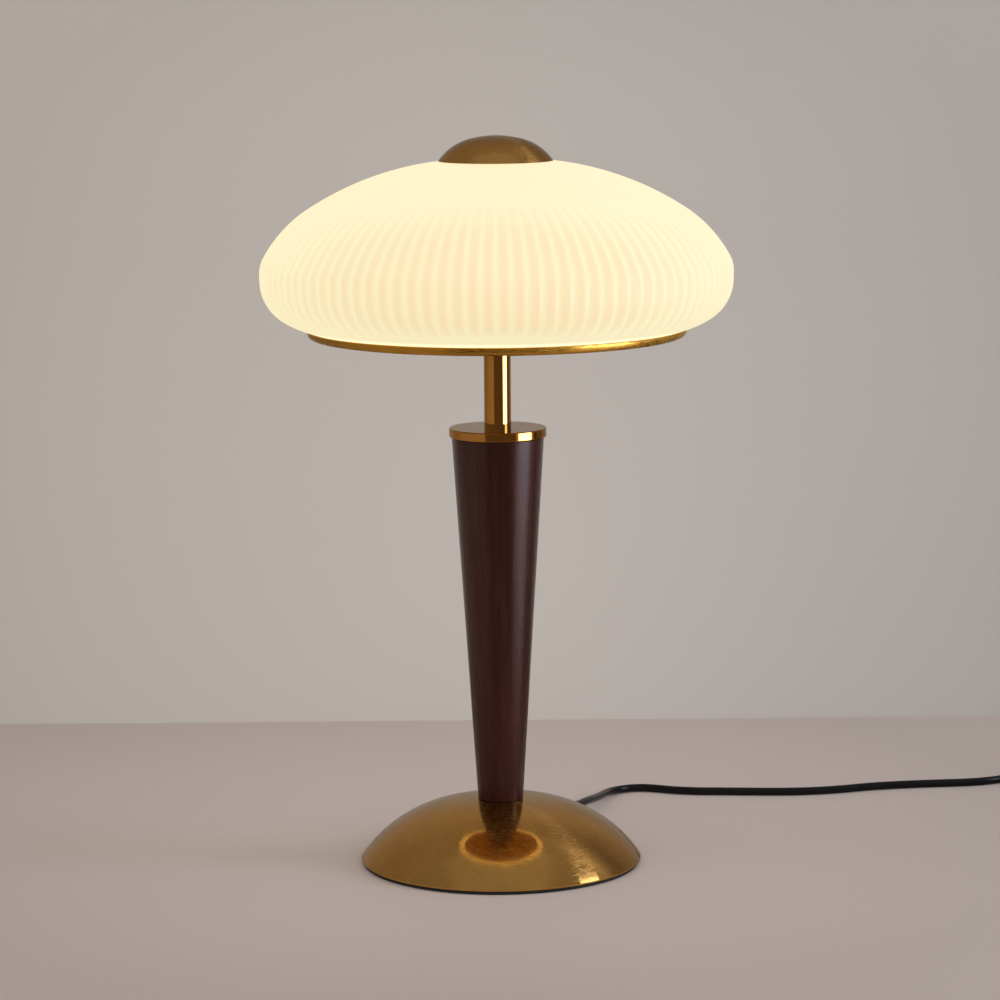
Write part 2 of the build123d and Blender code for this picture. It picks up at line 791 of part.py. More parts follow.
# Cap, a pressed dome
crown_inside = cap_crown_radius - cap_wall
with BuildPart() as cap:
    with BuildSketch(Plane.XZ):
        with BuildLine():
            cap_crown = JernArc((0, cap_top), (1, 0), cap_crown_radius, -cap_crown_angle)
            cap_side = TangentArc(cap_crown @ 1, (cap_radius, cap_rim), tangent=cap_crown % 1)
            cap_inner_crown = JernArc((0, cap_top - cap_wall), (1, 0), crown_inside, -cap_crown_angle)
            cap_inner_side = TangentArc(
                cap_inner_crown @ 1, (cap_radius - cap_rim_wall, cap_rim), tangent=cap_inner_crown % 1
            )
            Line(cap_side @ 1, cap_inner_side @ 1)
            Line(cap_crown @ 0, cap_inner_crown @ 0)
        make_face()
    revolve(axis=Axis.Z)
write(cap, "cap")

# Threaded hub in the cap
hub_top = cap_top - cap_wall - (crown_inside - sqrt(crown_inside**2 - cap_hub_radius**2)) - slip
hub_bore_top = rod_top + cap_hub_end
with BuildPart() as cap_hub:
    with BuildSketch(Plane.XZ):
        with BuildLine():
            Polyline(
                (rod_radius + slip, hub_bottom),
                (cap_hub_flange_radius, hub_bottom),
                (cap_hub_flange_radius, hub_bottom + cap_hub_flange_thickness),
                (cap_hub_radius, hub_bottom + cap_hub_flange_thickness),
                (cap_hub_radius, hub_top),
                (0, hub_top),
                (0, hub_bore_top),
                (rod_radius + slip, hub_bore_top),
                close=True,
            )
        make_face()
    revolve(axis=Axis.Z)
write(cap_hub, "cap_hub")

# Cord from the bush to the in-line switch
lead_start = bush_tip_place
lead_route = [lead_start, lead_start + exit_axis.direction * bush_straight, *lead_route_points, switch_start]
lead_radii = route_radii(lead_route)
print("cord_lead radii", [round(radius) for radius in lead_radii])
with BuildPart() as cord_lead:
    with BuildLine() as cord_lead_path:
        FilletPolyline(*lead_route, radius=lead_radii)
    with BuildSketch(Plane(origin=cord_lead_path.wire() @ 0, z_dir=cord_lead_path.wire() % 0)):
        Circle(cord_radius)
    sweep()
report_tube("cord_lead", cord_lead, cord_lead_path.wire().length)
write(cord_lead, "cord_lead")

# In-line switch: lower shell
switch_middle = switch_start + Vector(switch_length / 2, 0, -switch_split)
switch_plane = Plane(origin=switch_middle)
post_places = [(-switch_screw_spacing / 2, 0), (switch_screw_spacing / 2, 0)]
inner_length = switch_length - 2 * switch_wall
inner_width = switch_width - 2 * switch_wall
inner_corner = switch_corner - switch_wall
with BuildPart() as switch_bottom:
    with BuildSketch(switch_plane):
        RectangleRounded(switch_length, switch_width, switch_corner)
    extrude(amount=switch_split)
    fillet(switch_bottom.edges().group_by(Axis.Z)[0], radius=switch_edge_round)
    with BuildSketch(switch_plane.offset(switch_wall)):
        RectangleRounded(inner_length, inner_width, inner_corner)
    extrude(amount=switch_split, mode=Mode.SUBTRACT)
    with BuildSketch(switch_plane.offset(switch_wall)):
        with Locations(*post_places):
            Circle(switch_post_radius)
    extrude(amount=switch_split - switch_wall)
    with BuildSketch(switch_plane):
        with Locations(*post_places):
            Circle(switch_screw_radius + slip)
    extrude(amount=switch_split, mode=Mode.SUBTRACT)
    with BuildSketch(switch_plane):
        with Locations(*post_places):
            Circle(switch_screw_head_radius + slip)
    extrude(amount=switch_screw_head_height, mode=Mode.SUBTRACT)
write(switch_bottom, "switch_bottom")

# In-line switch: upper shell with the rocker's window and lugs
window_length = 2 * (rocker_radius + rocker_gap)
window_width = rocker_width + 2 * rocker_gap
lug_offset = window_width / 2 + switch_lug_thickness / 2
ceiling = switch_height - switch_wall
with BuildPart() as switch_top:
    with BuildSketch(switch_plane.offset(switch_split)):
        RectangleRounded(switch_length, switch_width, switch_corner)
    extrude(amount=switch_height - switch_split)
    fillet(switch_top.edges().group_by(Axis.Z)[-1], radius=switch_edge_round)
    with BuildSketch(switch_plane.offset(switch_split)):
        RectangleRounded(inner_length, inner_width, inner_corner)
    extrude(amount=ceiling - switch_split, mode=Mode.SUBTRACT)
    with BuildSketch(switch_plane.offset(rocker_pivot_height - switch_lug_radius)):
        with Locations((0, -lug_offset), (0, lug_offset)):
            Rectangle(2 * switch_lug_radius, switch_lug_thickness)
    extrude(amount=ceiling - rocker_pivot_height + switch_lug_radius)
    with BuildSketch(switch_plane.offset(switch_split)):
        with Locations(*post_places):
            Circle(switch_post_radius)
    extrude(amount=ceiling - switch_split)
    with BuildSketch(switch_plane.offset(switch_split)):
        with Locations(*post_places):
            Circle(switch_screw_radius + slip)
    extrude(amount=switch_screw_length - switch_split + seat_gap, mode=Mode.SUBTRACT)
    with BuildSketch(switch_plane.offset(ceiling)):
        Rectangle(window_length, window_width)
    extrude(amount=switch_wall, mode=Mode.SUBTRACT)
    with BuildSketch(Plane.XZ.offset(-switch_middle.Y)):
        with Locations((switch_middle.X, rocker_pivot_height)):
            Circle(rocker_pin_radius + slip)
    extrude(amount=lug_offset + switch_lug_thickness / 2, both=True, mode=Mode.SUBTRACT)
write(switch_top, "switch_top")

# Rocker, tilted to its on side
rocker_plane = Plane(
    origin=switch_middle + Vector(0, 0, rocker_pivot_height),
    x_dir=Vector(cos(radians(rocker_tilt)), 0, -sin(radians(rocker_tilt))),
    z_dir=(0, -1, 0),
)
with BuildPart() as switch_rocker:
    with BuildSketch(rocker_plane):
        Circle(rocker_radius)
        with BuildLine():
            Polyline(
                (-2 * rocker_radius, -rocker_bottom),
                (2 * rocker_radius, -rocker_bottom),
                (2 * rocker_radius, 2 * rocker_top_end - rocker_top_middle),
                (0, rocker_top_middle),
                (-2 * rocker_radius, 2 * rocker_top_end - rocker_top_middle),
                close=True,
            )
        make_face(mode=Mode.INTERSECT)
    extrude(amount=rocker_width / 2, both=True)
    with BuildSketch(rocker_plane):
        Circle(rocker_pin_radius)
    extrude(amount=rocker_width / 2 + rocker_pin_length, both=True)
write(switch_rocker, "switch_rocker")

# Screws that close the switch
with BuildPart() as switch_screws:
    with BuildSketch(switch_plane):
        with Locations(*post_places):
            Circle(switch_screw_head_radius)
    extrude(amount=switch_screw_head_height)
    with BuildSketch(switch_plane):
        with Locations(*post_places):
            Circle(switch_screw_radius)
    extrude(amount=switch_screw_length)
write(switch_screws, "switch_screws")

# Screw terminals on the floor of the switch
with BuildPart() as switch_terminals:
    with BuildSketch(switch_plane.offset(switch_wall)):
        with Locations((-switch_terminal_spacing / 2, 0), (switch_terminal_spacing / 2, 0)):
            Rectangle(switch_terminal_size, switch_terminal_size)
    extrude(amount=switch_split - switch_wall)
write(switch_terminals, "switch_terminals")

# Cord from the switch to the coil
switch_end = switch_start + Vector(switch_length, 0, 0)
link_route = [switch_end, *link_route_points, coil_start]
link_radii = route_radii(link_route)
print("cord_link radii", [round(radius) for radius in link_radii])
with BuildPart() as cord_link:
    with BuildLine() as cord_link_path:
        FilletPolyline(*link_route, radius=link_radii)
    with BuildSketch(Plane(origin=cord_link_path.wire() @ 0, z_dir=cord_link_path.wire() % 0)):
        Circle(cord_radius)
    sweep()
report_tube("cord_link", cord_link, cord_link_path.wire().length)
write(cord_link, "cord_link")

# Coil: half turns that spiral in, climb a layer at the innermost one and spiral out again
coil_middle = coil_start - Vector(coil_radius, cord_diameter, 0)
half_pitch = coil_turn_pitch / 2
inner_reach = coil_radius - half_pitch * coil_inward_half_turns
climb_reach = inner_reach - coil_climb_inset
coil_reaches = [coil_radius - half_pitch * index for index in range(coil_inward_half_turns)]
coil_reaches += [climb_reach, climb_reach]
coil_reaches += [inner_reach + half_pitch * (index + 1) for index in range(coil_outward_half_turns)]
coil_points = []
for index, reach in enumerate(coil_reaches):
    layer = 0 if index <= coil_inward_half_turns else coil_layer_height
    coil_points.append(coil_middle + Vector(reach if index % 2 == 0 else -reach, 0, layer))
with BuildPart() as cord_coil:
    with BuildLine() as coil_path:
        Line(coil_start, coil_points[0])
        for index, (first, second) in enumerate(zip(coil_points, coil_points[1:])):
            swing = (second - first).length / 2 * (-1 if index % 2 == 0 else 1)
            ThreePointArc(first, (first + second) / 2 + Vector(0, swing, 0), second)
        coil_end = coil_points[-1] - Vector(0, cord_diameter, 0)
        Line(coil_points[-1], coil_end)
    with BuildSketch(Plane(origin=coil_start, z_dir=(0, -1, 0))) as coil_section:
        Circle(cord_radius)
    sweep(sections=coil_section.sketch, path=coil_path.wire())
report_tube("cord_coil", cord_coil, coil_path.wire().length)
write(cord_coil, "cord_coil")

# Least space between the turns of the coil, measured on points along it
samples_per_edge = 24
coil_samples = []
length_so_far = 0.0
for edge_piece in coil_path.wire().edges():
    for step in range(samples_per_edge):
        share = step / samples_per_edge
        coil_samples.append((length_so_far + share * edge_piece.length, edge_piece.position_at(share)))
    length_so_far += edge_piece.length
same_bend = 4 * cord_diameter
least_space = min(
    (place - other_place).length - cord_diameter
    for index, (along, place) in enumerate(coil_samples)
    for other_along, other_place in coil_samples[index:]
    if other_along - along > same_bend
)
print(f"cord_coil: least space between turns {least_space:.2f} mm")

# Tie around the coil
odd_reaches = coil_reaches[1::2]
tie_far = max(odd_reaches) + cord_radius + tie_room
tie_near = min(odd_reaches) - cord_radius - tie_room
tie_hole_height = coil_layer_height + cord_diameter + 2 * tie_room
tie_centre = coil_middle.X - (tie_far + tie_near) / 2
with BuildPart() as cord_tie:
    with BuildSketch(Plane.XZ.offset(-coil_middle.Y)):
        with Locations((tie_centre, tie_thickness + tie_hole_height / 2)):
            RectangleRounded(
                tie_far - tie_near + 2 * tie_thickness, tie_hole_height + 2 * tie_thickness, 2 * tie_thickness
            )
            RectangleRounded(tie_far - tie_near, tie_hole_height, tie_thickness, mode=Mode.SUBTRACT)
    extrude(amount=tie_width / 2, both=True)
write(cord_tie, "cord_tie")

# Cord from the coil to the plug
tail_route = [coil_end, coil_end - Vector(0, tail_straight, 0), tail_turn, plug_start]
tail_radii = route_radii(tail_route)
print("cord_tail radii", [round(radius) for radius in tail_radii])
with BuildPart() as cord_tail:
    with BuildLine() as cord_tail_path:
        FilletPolyline(*tail_route, radius=tail_radii)
    with BuildSketch(Plane(origin=cord_tail_path.wire() @ 0, z_dir=cord_tail_path.wire() % 0)):
        Circle(cord_radius)
    sweep()
report_tube("cord_tail", cord_tail, cord_tail_path.wire().length)
write(cord_tail, "cord_tail")

# Plug body with its strain relief, lying flat with its pins along -Y
plug_plane = Plane(origin=plug_start, x_dir=(1, 0, 0), z_dir=(0, -1, 0))
shoulder_start = plug_relief_length
body_start = shoulder_start + plug_shoulder_length
body_end = body_start + plug_body_length
pin_places = [(-plug_pin_spacing / 2, 0), (plug_pin_spacing / 2, 0)]
with BuildPart() as plug_body:
    with BuildSketch(plug_plane):
        Circle(plug_relief_tip_radius)
    with BuildSketch(plug_plane.offset(shoulder_start)):
        Circle(plug_relief_radius)
    loft()
    with BuildSketch(plug_plane.offset(shoulder_start)):
        RectangleRounded(plug_neck_width, plug_neck_thickness, plug_neck_corner)
    with BuildSketch(plug_plane.offset(body_start)):
        RectangleRounded(plug_width, plug_thickness, plug_corner)
    loft()
    with BuildSketch(plug_plane.offset(body_start)):
        RectangleRounded(plug_width, plug_thickness, plug_corner)
    extrude(amount=plug_body_length)
    with BuildSketch(plug_plane.offset(body_end)):
        with Locations(*pin_places):
            Circle(plug_pin_shank_radius + slip)
    extrude(amount=-plug_pin_depth, mode=Mode.SUBTRACT)
write(plug_body, "plug_body")

# Plug pins
with BuildPart() as plug_pins:
    with BuildSketch(plug_plane.offset(body_end)):
        with Locations(*pin_places):
            Circle(plug_pin_radius)
    extrude(amount=plug_pin_length)
    fillet(plug_pins.edges().group_by(Axis.Y)[0], radius=plug_pin_round)
    with BuildSketch(plug_plane.offset(body_end)):
        with Locations(*pin_places):
            Circle(plug_pin_shank_radius)
    extrude(amount=-plug_pin_depth)
write(plug_pins, "plug_pins")

cord_total = sum(
    path.wire().length for path in (cord_lead_path, cord_link_path, coil_path, cord_tail_path)
) + switch_length
print(f"cord from the bush to the plug: {cord_total:.0f} mm")
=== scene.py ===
"""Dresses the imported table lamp: materials, pleated glass, mains cord and its strap, studio and camera.

Metres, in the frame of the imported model: +Z is up, the lamp stands on Z = 0 and the camera looks along +Y.
"""

import json
import math

import bmesh
import bpy
from mathutils import Matrix, Quaternion, Vector


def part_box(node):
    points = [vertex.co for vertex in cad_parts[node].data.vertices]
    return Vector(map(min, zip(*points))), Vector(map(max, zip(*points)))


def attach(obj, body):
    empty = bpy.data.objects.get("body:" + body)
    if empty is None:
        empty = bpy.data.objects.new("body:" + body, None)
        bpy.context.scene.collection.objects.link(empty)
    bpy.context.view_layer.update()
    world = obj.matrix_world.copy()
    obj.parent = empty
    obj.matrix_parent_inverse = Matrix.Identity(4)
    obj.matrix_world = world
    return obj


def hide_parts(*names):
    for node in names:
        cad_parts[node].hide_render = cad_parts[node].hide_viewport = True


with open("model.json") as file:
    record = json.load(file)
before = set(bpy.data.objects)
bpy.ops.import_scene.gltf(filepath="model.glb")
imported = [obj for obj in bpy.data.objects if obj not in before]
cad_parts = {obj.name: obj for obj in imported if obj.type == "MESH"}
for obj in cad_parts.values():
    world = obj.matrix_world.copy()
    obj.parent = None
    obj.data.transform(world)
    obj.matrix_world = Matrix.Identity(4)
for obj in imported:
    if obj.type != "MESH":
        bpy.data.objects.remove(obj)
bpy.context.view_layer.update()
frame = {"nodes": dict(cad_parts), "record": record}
nodes = frame["nodes"]

MM = 0.001
SHARP_ANGLE = math.radians(50)

# Camera, as fitted to the photograph
PICTURE_WIDTH = 1000.0
FOCAL_PIXELS = 3643.8
SENSOR_WIDTH = 36.0
CAMERA_PLACE = (0.0010, -2.1487, 0.5432)
CAMERA_PITCH = 0.1492
CAMERA_ROLL = -0.0080

# Wall and floor as the camera sees them, with painted light round the lamp on both, painted shade on the
# wall's right and on the floor past the wall; a range is where one colour goes over into another
BLACK = (0.0, 0.0, 0.0)
WALL_PLACE = 0.406
WALL_HEIGHT = 6.0
WALL_COLOUR = (0.481, 0.441, 0.402)
# Painted glow: the wall is lighter round the lamp's foot
WALL_PAINTED_GLOW_COLOUR = (0.640, 0.588, 0.542)
WALL_PAINTED_GLOW_HEIGHT = 0.12
WALL_PAINTED_GLOW_RANGE = (0.05, 0.45)
# Painted shade: the wall darkens towards the right
WALL_RIGHT_PAINTED_SHADE = 0.16
WALL_SIDE_RANGE = (-0.30, 0.45)
FLOOR_REACH = 12.0
FLOOR_DROP = 0.0001
FLOOR_COLOUR = (0.420, 0.350, 0.312)
# Painted pool of light: the table top is lighter round the lamp's foot
FLOOR_PAINTED_GLOW_COLOUR = (0.547, 0.457, 0.408)
FLOOR_PAINTED_GLOW_CENTRE = (-0.04, 0.10, 0.0)
FLOOR_PAINTED_GLOW_RANGE = (0.08, 0.40)
FLOOR_BEHIND_SHADE = 0.16
FLOOR_BEHIND_FADE = 0.02

# What mirrors see of wall and floor further off; left, right and side ranges are cosines of an angle
WALL_LEFT_COLOUR = (0.345, 0.316, 0.292)
WALL_RIGHT_COLOUR = (0.130, 0.112, 0.100)
WALL_FAR_RANGE = (0.28, 0.75)
WALL_LOW_RANGE = (0.5, 1.1)
FLOOR_FAR_RANGE = (0.20, 0.48)
FLOOR_FRONT_COLOUR = (0.120, 0.090, 0.068)
FLOOR_LEFT_COLOUR = (0.460, 0.405, 0.368)
FLOOR_LEFT_WAY = (-0.985, -0.174, 0.0)
FLOOR_LEFT_RANGE = (0.60, 0.68)
FLOOR_RIGHT_COLOUR = (0.900, 0.850, 0.820)
FLOOR_RIGHT_WAY = (0.927, -0.375, 0.0)
FLOOR_RIGHT_RANGE = (0.90, 0.97)
FLOOR_RIGHT_SHEEN = 0.42
GLARE_COLOUR = (0.50, 0.70, 1.00)
GLARE_STRENGTH = 14.0
GLARE_SIDE_RANGE = (0.944, 0.966)
GLARE_FAR_RANGE = (1.20, 1.60)

# World: what lights the lamp, what the camera sees past the wall, and the room that mirrors see
AMBIENT = 1.16
BACKDROP_COLOUR = (0.46, 0.41, 0.375)
ROOM_WAY = (-0.35, 0.85, 0.0)
ROOM_WAY_RANGE = (-0.9, 0.6)
ROOM_FRONT = 0.17
ROOM_BACK = 0.30
ROOM_RISE_RANGE = (0.05, 0.45)
ROOM_ABOVE = 0.245
ROOM_TOP = 0.31
ROOM_TOP_RANGE = (0.55, 0.85)
ROOM_CEILING = 0.40
ROOM_CEILING_RANGE = (0.42, 0.54)

# Light on the right
SOFTBOX_PLACE = (1.681, -0.262, 0.89)
SOFTBOX_TARGET = (0, 0, 0.89)
SOFTBOX_WIDTH = 0.62
SOFTBOX_HEIGHT = 1.15
SOFTBOX_LEAN = math.radians(-26)
SOFTBOX_RADIANCE = 6.7
SOFTBOX_COLOUR = (0.68, 0.80, 1.00)

# Glass of the shade: the same arcs as its solid
GLASS_WALL = 3.2 * MM
EQUATOR_RISE = 37.1 * MM
PAN_WALL = 1.2 * MM
SHOULDER_RADIUS = 19.2 * MM
SHOULDER_TURN = math.radians(28.9)
FLANK_RADIUS = 78.3 * MM
FLANK_TURN = math.radians(28.2)
LAND_RADIUS = 14.5 * MM
HOLE_RADIUS = 7.0 * MM
BELLY_RADIUS = 90.0 * MM
BELLY_TURN = math.radians(3.9)
TURN_RADIUS = 26.6 * MM
TURN_TURN = math.radians(52.6)
FLARE_OVERLAP = 0.4 * MM
FLARE_GAP = 0.55 * MM
NECK_SETBACK = 2.0 * MM
NECK_STEP = 1.6 * MM

# Pleats of the glass
PLEAT_COUNT = 100
PLEAT_DEPTH = 0.75 * MM
PLEAT_SHARPNESS = 3.0
PLEAT_STEPS = 12
PLEAT_FADE_LOW = 0.387
PLEAT_FADE_HIGH = 0.416
PLEAT_RIM_FADE = 2.5 * MM
GLOW_RIM_LOW = 0.3243
GLOW_RIM_HIGH = 0.3264
GLOW_RIM_GAIN = 1.45

# Cord; the coil is in millimetres, like the routes below
CORD_DIAMETER = 5.0 * MM
COIL_REACH = 39.5
COIL_PITCH = 5.5
COIL_LAYER = 5.5
COIL_INWARD = 7
COIL_OUTWARD = 6
COIL_CLIMB_INSET = 1.0
COIL_STEPS = 12

# Marks on the rocker of the switch
MARK_OFFSET = 5.0 * MM
MARK_REACH = 1.7 * MM
MARK_LINE = 0.6 * MM

# Strap round the coil
STRAP_THICKNESS = 0.8 * MM
STRAP_MARGIN = 0.05 * MM
STRAP_LEAN = 3.4 * MM
STRAP_WAIST = 5.0 * MM
STRAP_ROUND = 2.4 * MM
STRAP_THREAD = 0.7 * MM

# Brass, with its turned rings per metre
BRASS_EDGE = (0.65, 0.70, 0.70)
FINE_RINGS = 9000.0
SATIN_RINGS = 5600.0
STROKE_SHAPE = 450.0  # length of a stroke in its widths, one metre from the axis


def arc(start, heading, radius, turn, steps):
    """Points of an arc that leaves a point along a heading and turns by an angle, and its last heading."""
    side = heading + math.copysign(math.pi / 2, turn)
    centre = (start[0] + radius * math.cos(side), start[1] + radius * math.sin(side))
    points = []
    for step in range(1, steps + 1):
        angle = side + turn * step / steps
        points.append((centre[0] - radius * math.cos(angle), centre[1] - radius * math.sin(angle)))
    return points, heading + turn


def arc_to(start, heading, end, steps):
    """Points of the arc that leaves a point along a heading and ends at another point."""
    across = (end[0] - start[0], end[1] - start[1])
    swing = math.atan2(across[1], across[0]) - heading
    swing = (swing + math.pi) % (2 * math.pi) - math.pi
    radius = math.hypot(*across) / (2 * abs(math.sin(swing)))
    return arc(start, heading, radius, 2 * swing, steps)


def new_object(name, data, body):
    """An object for some data, linked into the scene and riding on a body."""
    made = bpy.data.objects.new(name, data)
    bpy.context.scene.collection.objects.link(made)
    if body:
        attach(made, body)
    return made


def mesh_piece(name, points, faces, body, slot, replaced):
    """A closed mesh with its normals outward, in a slot's material, riding on a body."""
    mesh = bpy.data.meshes.new(name)
    mesh.from_pydata(points, [], faces)
    solid = bmesh.new()
    solid.from_mesh(mesh)
    bmesh.ops.recalc_face_normals(solid, faces=solid.faces)
    solid.to_mesh(mesh)
    solid.free()
    mesh.materials.append(looks[slot])
    mesh.shade_smooth()
    mesh.set_sharp_from_angle(angle=SHARP_ANGLE)
    piece = new_object(name, mesh, body)
    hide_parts(*replaced)
    return piece


def smoothstep(low, high, value):
    """0 below low, 1 above high and a smooth climb between."""
    share = min(1.0, max(0.0, (value - low) / (high - low)))
    return share * share * (3 - 2 * share)


# Materials


class Nodes:
    """A node tree and short ways to add to it."""

    def __init__(self, tree):
        self.tree = tree

    def add(self, kind, inputs=None, **settings):
        """Adds a node with its settings and feeds its inputs with values or other nodes' outputs."""
        node = self.tree.nodes.new(kind)
        for key, value in settings.items():
            setattr(node, key, value)
        for key, value in (inputs or {}).items():
            self.feed(node.inputs[key], value)
        return node

    def feed(self, socket, value):
        """Links an output to a socket, or sets the socket to a value."""
        if isinstance(value, bpy.types.NodeSocket):
            self.tree.links.new(value, socket)
        else:
            socket.default_value = value

    def place(self):
        """Where the shaded point is, in the object's own space."""
        return self.add("ShaderNodeTexCoord").outputs["Object"]

    def vectors(self, operation, first, second=(0.0, 0.0, 0.0)):
        """A sum on one or two vectors: a number where the sum measures, and else a vector."""
        measures = operation in ("DOT_PRODUCT", "LENGTH", "DISTANCE")
        outputs = self.add("ShaderNodeVectorMath", {0: first, 1: second}, operation=operation).outputs
        return outputs["Value" if measures else "Vector"]

    def apart(self, vector):
        """The X, Y and Z of a vector."""
        return self.add("ShaderNodeSeparateXYZ", {0: vector}).outputs

    def joined(self, parts):
        """A vector from the parts that are named; the others are 0."""
        return self.add("ShaderNodeCombineXYZ", parts).outputs["Vector"]

    def along(self, way):
        """How far the direction from the origin to the shaded point agrees with a direction."""
        return self.vectors("DOT_PRODUCT", self.vectors("NORMALIZE", self.place()), way)

    def scaled(self, vector, scale):
        """A vector times a scale along each axis."""
        return self.add("ShaderNodeMapping", {"Vector": vector, "Scale": scale}).outputs["Vector"]

    def noise(self, vector, scale, detail=3.0, roughness=0.5):
        """Smooth noise from 0 to 1."""
        inputs = {"Vector": vector, "Scale": scale, "Detail": detail, "Roughness": roughness}
        return self.add("ShaderNodeTexNoise", inputs).outputs["Fac"]

    def maths(self, operation, first, second=0.0):
        """A sum on one or two numbers."""
        return self.add("ShaderNodeMath", {0: first, 1: second}, operation=operation).outputs[0]

    def spread(self, value, low, high, new_low, new_high):
        """Maps a range of a number to another range, clamped."""
        inputs = {"Value": value, "From Min": low, "From Max": high, "To Min": new_low, "To Max": new_high}
        return self.add("ShaderNodeMapRange", inputs).outputs["Result"]

    def mix(self, share, first, second):
        """A colour between two colours."""
        node = self.add("ShaderNodeMix", data_type="RGBA")
        colours = [socket for socket in node.inputs if socket.type == "RGBA"]
        self.feed(node.inputs["Factor"], share)
        for socket, colour in zip(colours, (first, second)):
            self.feed(socket, (*colour, 1.0) if isinstance(colour, tuple) else colour)
        return next(socket for socket in node.outputs if socket.type == "RGBA")


class Look(Nodes):
    """One material: a Principled shader and the nodes that feed it."""

    def __init__(self, name, values):
        self.material = bpy.data.materials.new(name)
        self.material.use_nodes = True
        super().__init__(self.material.node_tree)
        self.shader = self.tree.nodes["Principled BSDF"]
        for socket, value in values.items():
            self.shader.inputs[socket].default_value = value

    def set(self, socket, value):
        """Feeds a socket of the shader."""
        self.feed(self.shader.inputs[socket], value)

    def bump(self, height, strength, distance):
        """Bends the normal by a height."""
        inputs = {"Height": height, "Strength": strength, "Distance": distance}
        self.set("Normal", self.add("ShaderNodeBump", inputs).outputs["Normal"])

    def turned(self):
        """Radius from the lamp's axis, the level direction from it, and the height."""
        place = self.apart(self.place())
        flat = self.joined({"X": place["X"], "Y": place["Y"]})
        return self.vectors("LENGTH", flat), self.vectors("NORMALIZE", flat), place["Z"]


def turned_brass(name, colour, smooth, rough, brushed, anisotropy=0.0, rings_per_metre=FINE_RINGS):
    """Brass turned on a lathe: mirror-like and brushed strokes side by side, in rings round the axis."""
    stroke_spread = rings_per_metre / STROKE_SHAPE
    values = {"Metallic": 1.0, "Anisotropic": anisotropy, "Anisotropic Rotation": 0.25}
    look = Look(name, {**values, "Specular Tint": (*BRASS_EDGE, 1.0)})
    radius, heading, height = look.turned()
    ring = look.maths("MULTIPLY", look.maths("SUBTRACT", radius, height), rings_per_metre)
    wide = look.scaled(heading, (stroke_spread, stroke_spread, 1.0))
    stroke = look.noise(look.vectors("ADD", wide, look.joined({"Z": ring})), 1.0, 4.0, 0.6)
    cloud = look.noise(look.place(), 30.0, 4.0)
    darker = tuple(0.86 * part for part in colour)
    tint = look.mix(look.spread(cloud, 0.35, 0.65, 0.0, 1.0), darker, colour)
    look.set("Base Color", look.mix(look.spread(stroke, 0.3, 0.7, 0.0, 0.35), tint, darker))
    look.set("Roughness", look.spread(stroke, brushed - 0.03, brushed + 0.03, smooth, rough))
    look.bump(cloud, 0.02, 0.1 * MM)
    tangent = look.add("ShaderNodeTangent", direction_type="RADIAL", axis="Z").outputs[0]
    look.set("Tangent", tangent)
    return look.material


def dark_wood():
    """Dark stained wood with fine upright grain under a warm satin lacquer, its reflection weaker near the
    base as painted shade.
    """
    dark, light, pore = (0.026, 0.0062, 0.0044), (0.042, 0.0104, 0.0072), (0.016, 0.0048, 0.0038)
    lacquer = (1.0, 0.74, 0.66, 1.0)
    look = Look("dark_wood", {"Specular Tint": lacquer})
    place = look.place()
    # Painted shade: the lacquer reflects less towards the foot of the column
    look.set("Specular IOR Level", look.spread(look.apart(place)["Z"], 0.04, 0.16, 0.22, 0.40))
    broad = look.noise(look.scaled(place, (1.0, 1.0, 0.06)), 160.0, 5.0, 0.6)
    fine = look.noise(look.scaled(place, (1.0, 1.0, 0.02)), 1400.0, 3.0, 0.6)
    stain = look.mix(look.spread(broad, 0.35, 0.68, 0.0, 1.0), dark, light)
    look.set("Base Color", look.mix(look.spread(fine, 0.60, 0.74, 0.0, 0.55), stain, pore))
    look.set("Roughness", look.spread(broad, 0.3, 0.7, 0.24, 0.31))
    look.bump(fine, 0.06, 0.05 * MM)
    return look.material


def opal_glass():
    """Opal glass lit from inside: pale in the grooves and where it is seen edge on, warmer on the ribs."""
    rib_glow, rib_colour = (0.835, 0.672, 0.390), (0.15, 0.135, 0.105)
    groove_glow, groove_colour = (0.850, 0.752, 0.462), (0.16, 0.15, 0.12)
    edge_glow = (0.870, 0.775, 0.490)
    look = Look("opal_glass", {"Roughness": 0.45, "Specular IOR Level": 0.15})
    place = look.apart(look.place())
    angle = look.maths("ARCTAN2", place["Y"], place["X"])
    wave = look.maths("COSINE", look.maths("MULTIPLY", angle, float(PLEAT_COUNT)))
    groove = look.maths("POWER", look.spread(wave, -1.0, 1.0, 0.0, 1.0), 1.6)
    plain = look.spread(place["Z"], PLEAT_FADE_LOW, PLEAT_FADE_HIGH, 0.0, 1.0)
    facing = look.add("ShaderNodeLayerWeight", {"Blend": 0.5}).outputs["Facing"]
    edge = look.spread(facing, 0.24, 0.52, 0.0, 1.0)
    pale_share = look.maths("MAXIMUM", look.maths("MAXIMUM", plain, edge), groove)
    soft = look.noise(look.place(), 14.0, 2.0)
    share = look.maths("MULTIPLY", pale_share, look.spread(soft, 0.3, 0.7, 0.85, 1.0))
    look.set("Emission Color", look.mix(share, rib_glow, look.mix(edge, groove_glow, edge_glow)))
    strength = look.spread(place["Z"], GLOW_RIM_LOW, GLOW_RIM_HIGH, GLOW_RIM_GAIN, 1.0)
    look.set("Emission Strength", strength)
    look.set("Base Color", look.mix(share, rib_colour, groove_colour))
    look.bump(look.noise(look.place(), 220.0, 2.0), 0.02, 0.1 * MM)
    return look.material


